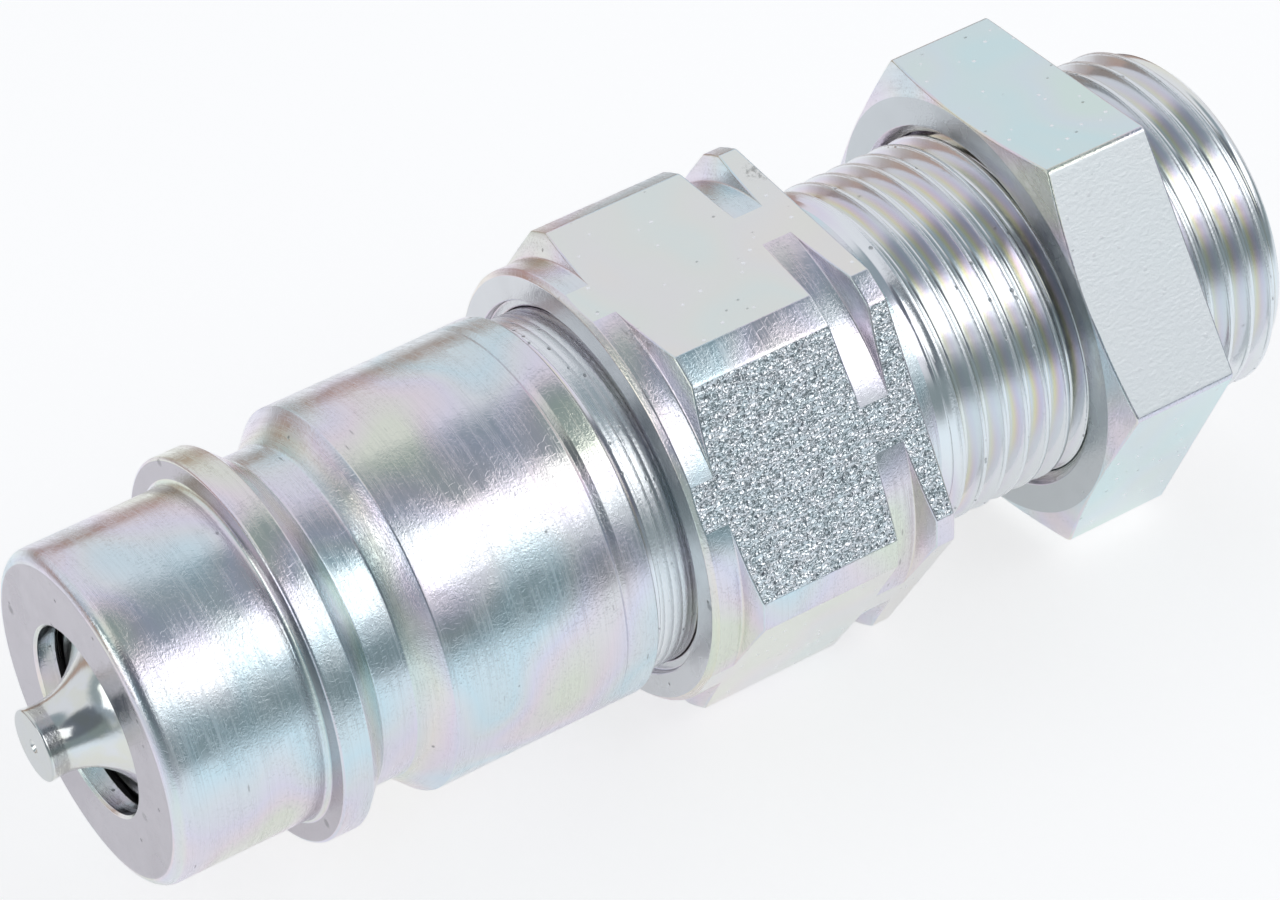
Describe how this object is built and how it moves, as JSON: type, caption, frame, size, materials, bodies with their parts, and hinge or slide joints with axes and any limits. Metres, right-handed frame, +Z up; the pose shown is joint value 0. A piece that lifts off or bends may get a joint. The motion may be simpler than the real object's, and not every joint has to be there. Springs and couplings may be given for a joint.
{
  "type": "quick coupling",
  "caption": "Male half of a hydraulic quick coupling, with a sprung poppet valve, a ball locking groove, a hexagon body and a threaded bulkhead end with a lock nut.",
  "frame": {"origin": "centre of the bottom of the bounding box, on the surface that the coupling lies on", "axes": "+X along the coupling's axis from the nose to the tube end, +Z up with a flat of the hexagon body facing up"},
  "size_m": [0.0794, 0.0308, 0.0284],
  "materials": {
    "plated_steel": "bright zinc plating over turned and drawn steel",
    "plated_nut": "bright zinc plating over drawn steel",
    "polished_steel": "polished and plated",
    "guide_steel": "pressed steel, plated",
    "spring_steel": "drawn spring wire",
    "seal_rubber": "moulded nitrile rubber",
    "backup_plastic": "turned hard plastic"
  },
  "bodies": {
    "coupling_body": {"nose_body": "plated_steel", "rear_body": "plated_steel", "valve_guide": "guide_steel", "guide_circlip": "spring_steel", "valve_spring": "spring_steel", "body_seal": "seal_rubber", "backup_ring": "backup_plastic"},
    "valve": {"valve_poppet": "polished_steel", "poppet_seal": "seal_rubber"},
    "lock_nut": {"lock_nut": "plated_nut"}
  },
  "joints": [
    {"name": "valve_slide", "type": "slide", "parent": "coupling_body", "child": "valve", "axis": [1, 0, 0], "range_m": [0, 0.0055], "stiffness_N_per_m": 1000, "springref_m": -0.001, "deforming": ["valve_spring"]},
    {"name": "nut_travel", "type": "slide", "parent": "coupling_body", "child": "lock_nut", "axis": [1, 0, 0], "range_m": [-0.009, 0.0078]}
  ]
}
